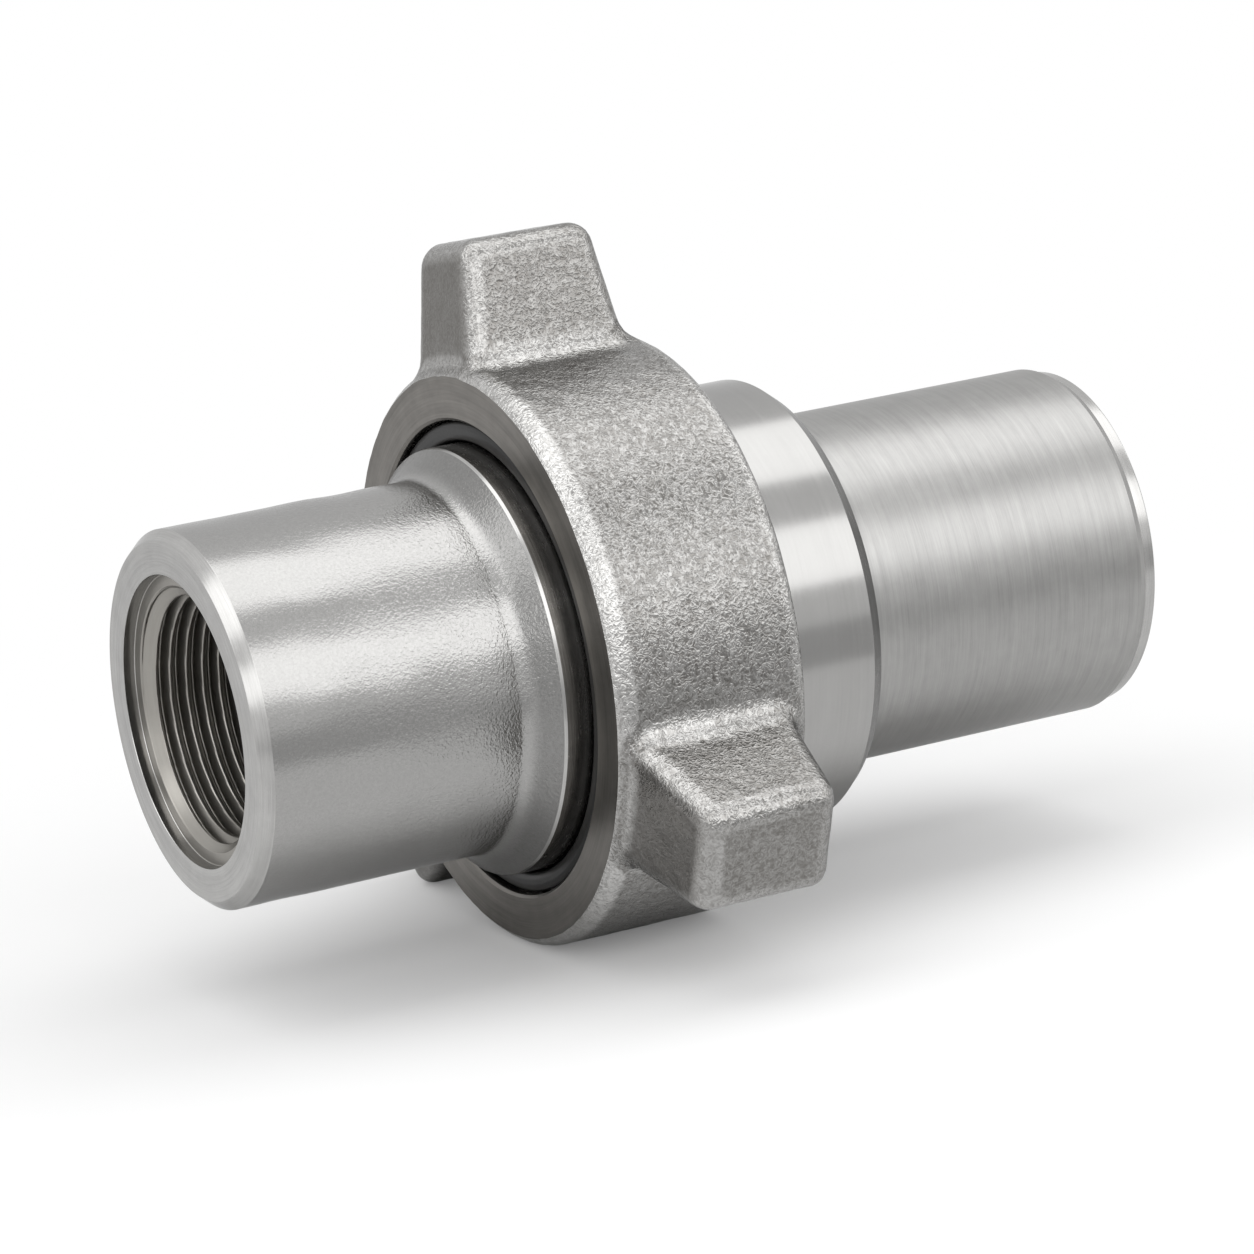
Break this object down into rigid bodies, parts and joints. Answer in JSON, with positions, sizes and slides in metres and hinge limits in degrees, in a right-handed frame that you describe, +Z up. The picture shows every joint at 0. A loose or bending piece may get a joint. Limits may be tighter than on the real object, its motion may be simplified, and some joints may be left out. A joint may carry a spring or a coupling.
{
  "type": "hammer union",
  "caption": "Three-lug hammer union lying on its wing nut: pipe-threaded sub, ball nose and cone seat, coarse nut thread, rubber rings and a weld-end sub.",
  "frame": {"origin": "on the surface it lies on, below the middle of its bounding box", "axes": "+X along the union's axis from the threaded end to the weld end, +Z up as it lies on the nut's rim and a lug's corner"},
  "size_m": [0.128, 0.0956, 0.0902],
  "materials": {
    "threaded_sub": "satin forged steel, turned collar",
    "wing_nut": "shot-blasted forged steel, turned front face",
    "weld_sub": "finely turned and brushed steel",
    "seal_ring": "matt nitrile rubber",
    "mouth_ring": "black rubber"
  },
  "bodies": {
    "threaded_half": {"threaded_sub": "threaded_sub", "mouth_ring": "mouth_ring"},
    "nut": {"wing_nut": "wing_nut"},
    "weld_half": {"weld_sub": "weld_sub", "seal_ring": "seal_ring"}
  },
  "joints": [
    {"name": "nut_turn", "type": "hinge", "parent": "threaded_half", "child": "nut", "pos_m": [-0.02245, 0.00304, 0.03747], "axis": [-1, 0, 0], "range_deg": [0, 810]},
    {"name": "weld_half_draw", "type": "slide", "parent": "threaded_half", "child": "weld_half", "axis": [1, 0, 0], "range_m": [0, 0.01143]}
  ],
  "couplings": [
    {"joint": "weld_half_draw", "follows": "nut_turn", "m_per_rad": 0.00080851}
  ]
}
